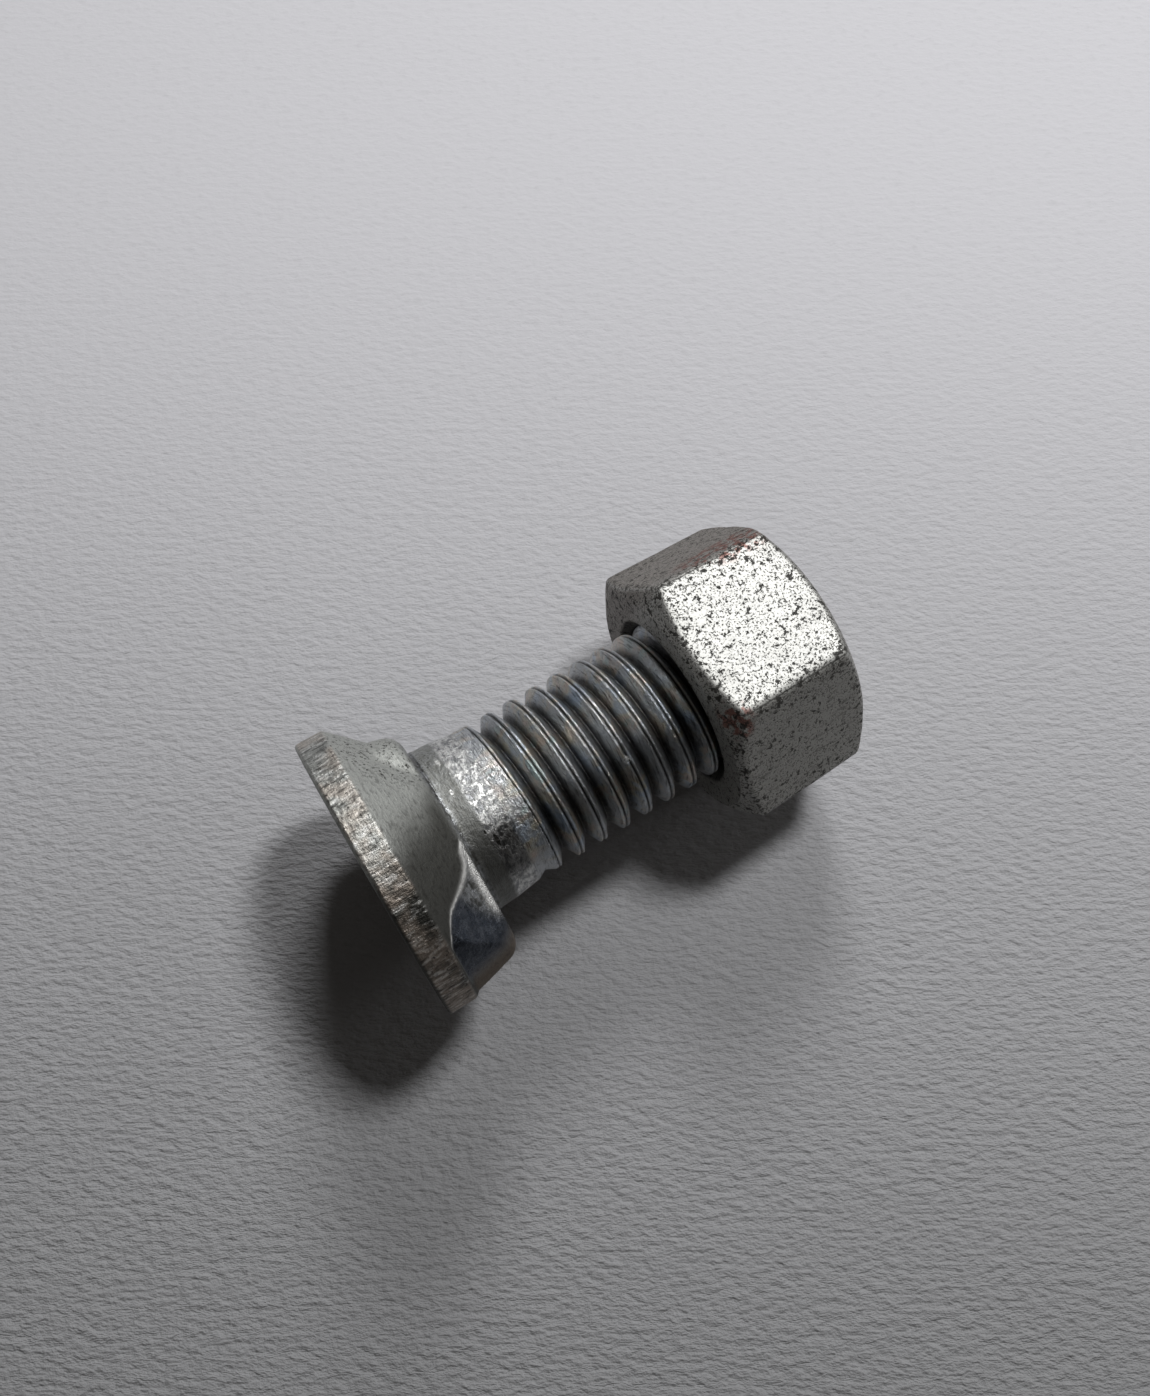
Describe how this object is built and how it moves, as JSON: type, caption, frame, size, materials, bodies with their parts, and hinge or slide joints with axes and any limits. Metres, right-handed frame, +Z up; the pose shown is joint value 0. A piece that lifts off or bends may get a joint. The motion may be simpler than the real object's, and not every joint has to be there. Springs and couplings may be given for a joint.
{
  "type": "plow bolt with hex nut",
  "caption": "Countersunk bolt with a flat round head, paired nibs that stop it turning, a coarse rolled thread and a hex nut run part-way down it.",
  "frame": {"origin": "bottom centre of the bounding box of the bolt and nut, lying at rest", "axes": "+X along the bolt from its head towards the thread's end, +Z up"},
  "size_m": [0.0388, 0.0224, 0.0223],
  "materials": {
    "bolt_zinc": "bright zinc plate over forged steel, matte on the cone and shiny on the shank and thread",
    "nut_zinc": "thin zinc plate over forged steel, pitted and speckled dark"
  },
  "bodies": {
    "bolt": {"plow_bolt": "bolt_zinc"},
    "nut": {"hex_nut": "nut_zinc"}
  },
  "joints": [
    {"name": "nut_travel", "type": "slide", "parent": "bolt", "child": "nut", "axis": [0.9987, 0, -0.0503], "range_m": [-0.01172, 0.02345]}
  ]
}
